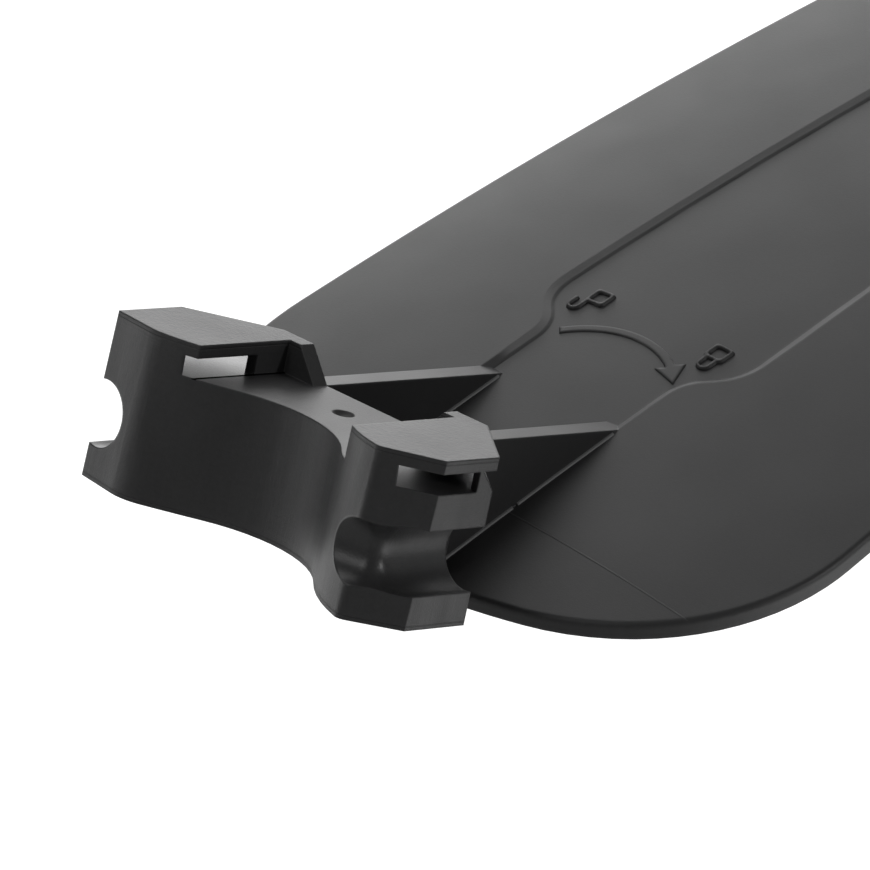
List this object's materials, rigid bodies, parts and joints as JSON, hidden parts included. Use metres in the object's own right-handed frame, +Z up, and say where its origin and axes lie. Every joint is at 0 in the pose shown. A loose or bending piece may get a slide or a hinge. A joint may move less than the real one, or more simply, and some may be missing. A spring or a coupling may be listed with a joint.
{
  "type": "bicycle mudguard",
  "caption": "One-piece clip-on rear mudguard: a bracket that snaps between bicycle saddle rails, gusset ribs and a long crowned blade with a shallow panel.",
  "frame": {"origin": "midway between the two saddle-rail axes, level with the front corners of the bracket's side faces", "axes": "+X to the rider's right, +Y back along the rails towards the blade's tail, +Z up"},
  "size_m": [0.0802, 0.2155, 0.085],
  "materials": {
    "moulded_plastic": "satin with a fine moulded texture"
  },
  "bodies": {
    "root": {"mudguard": "moulded_plastic"}
  },
  "joints": []
}
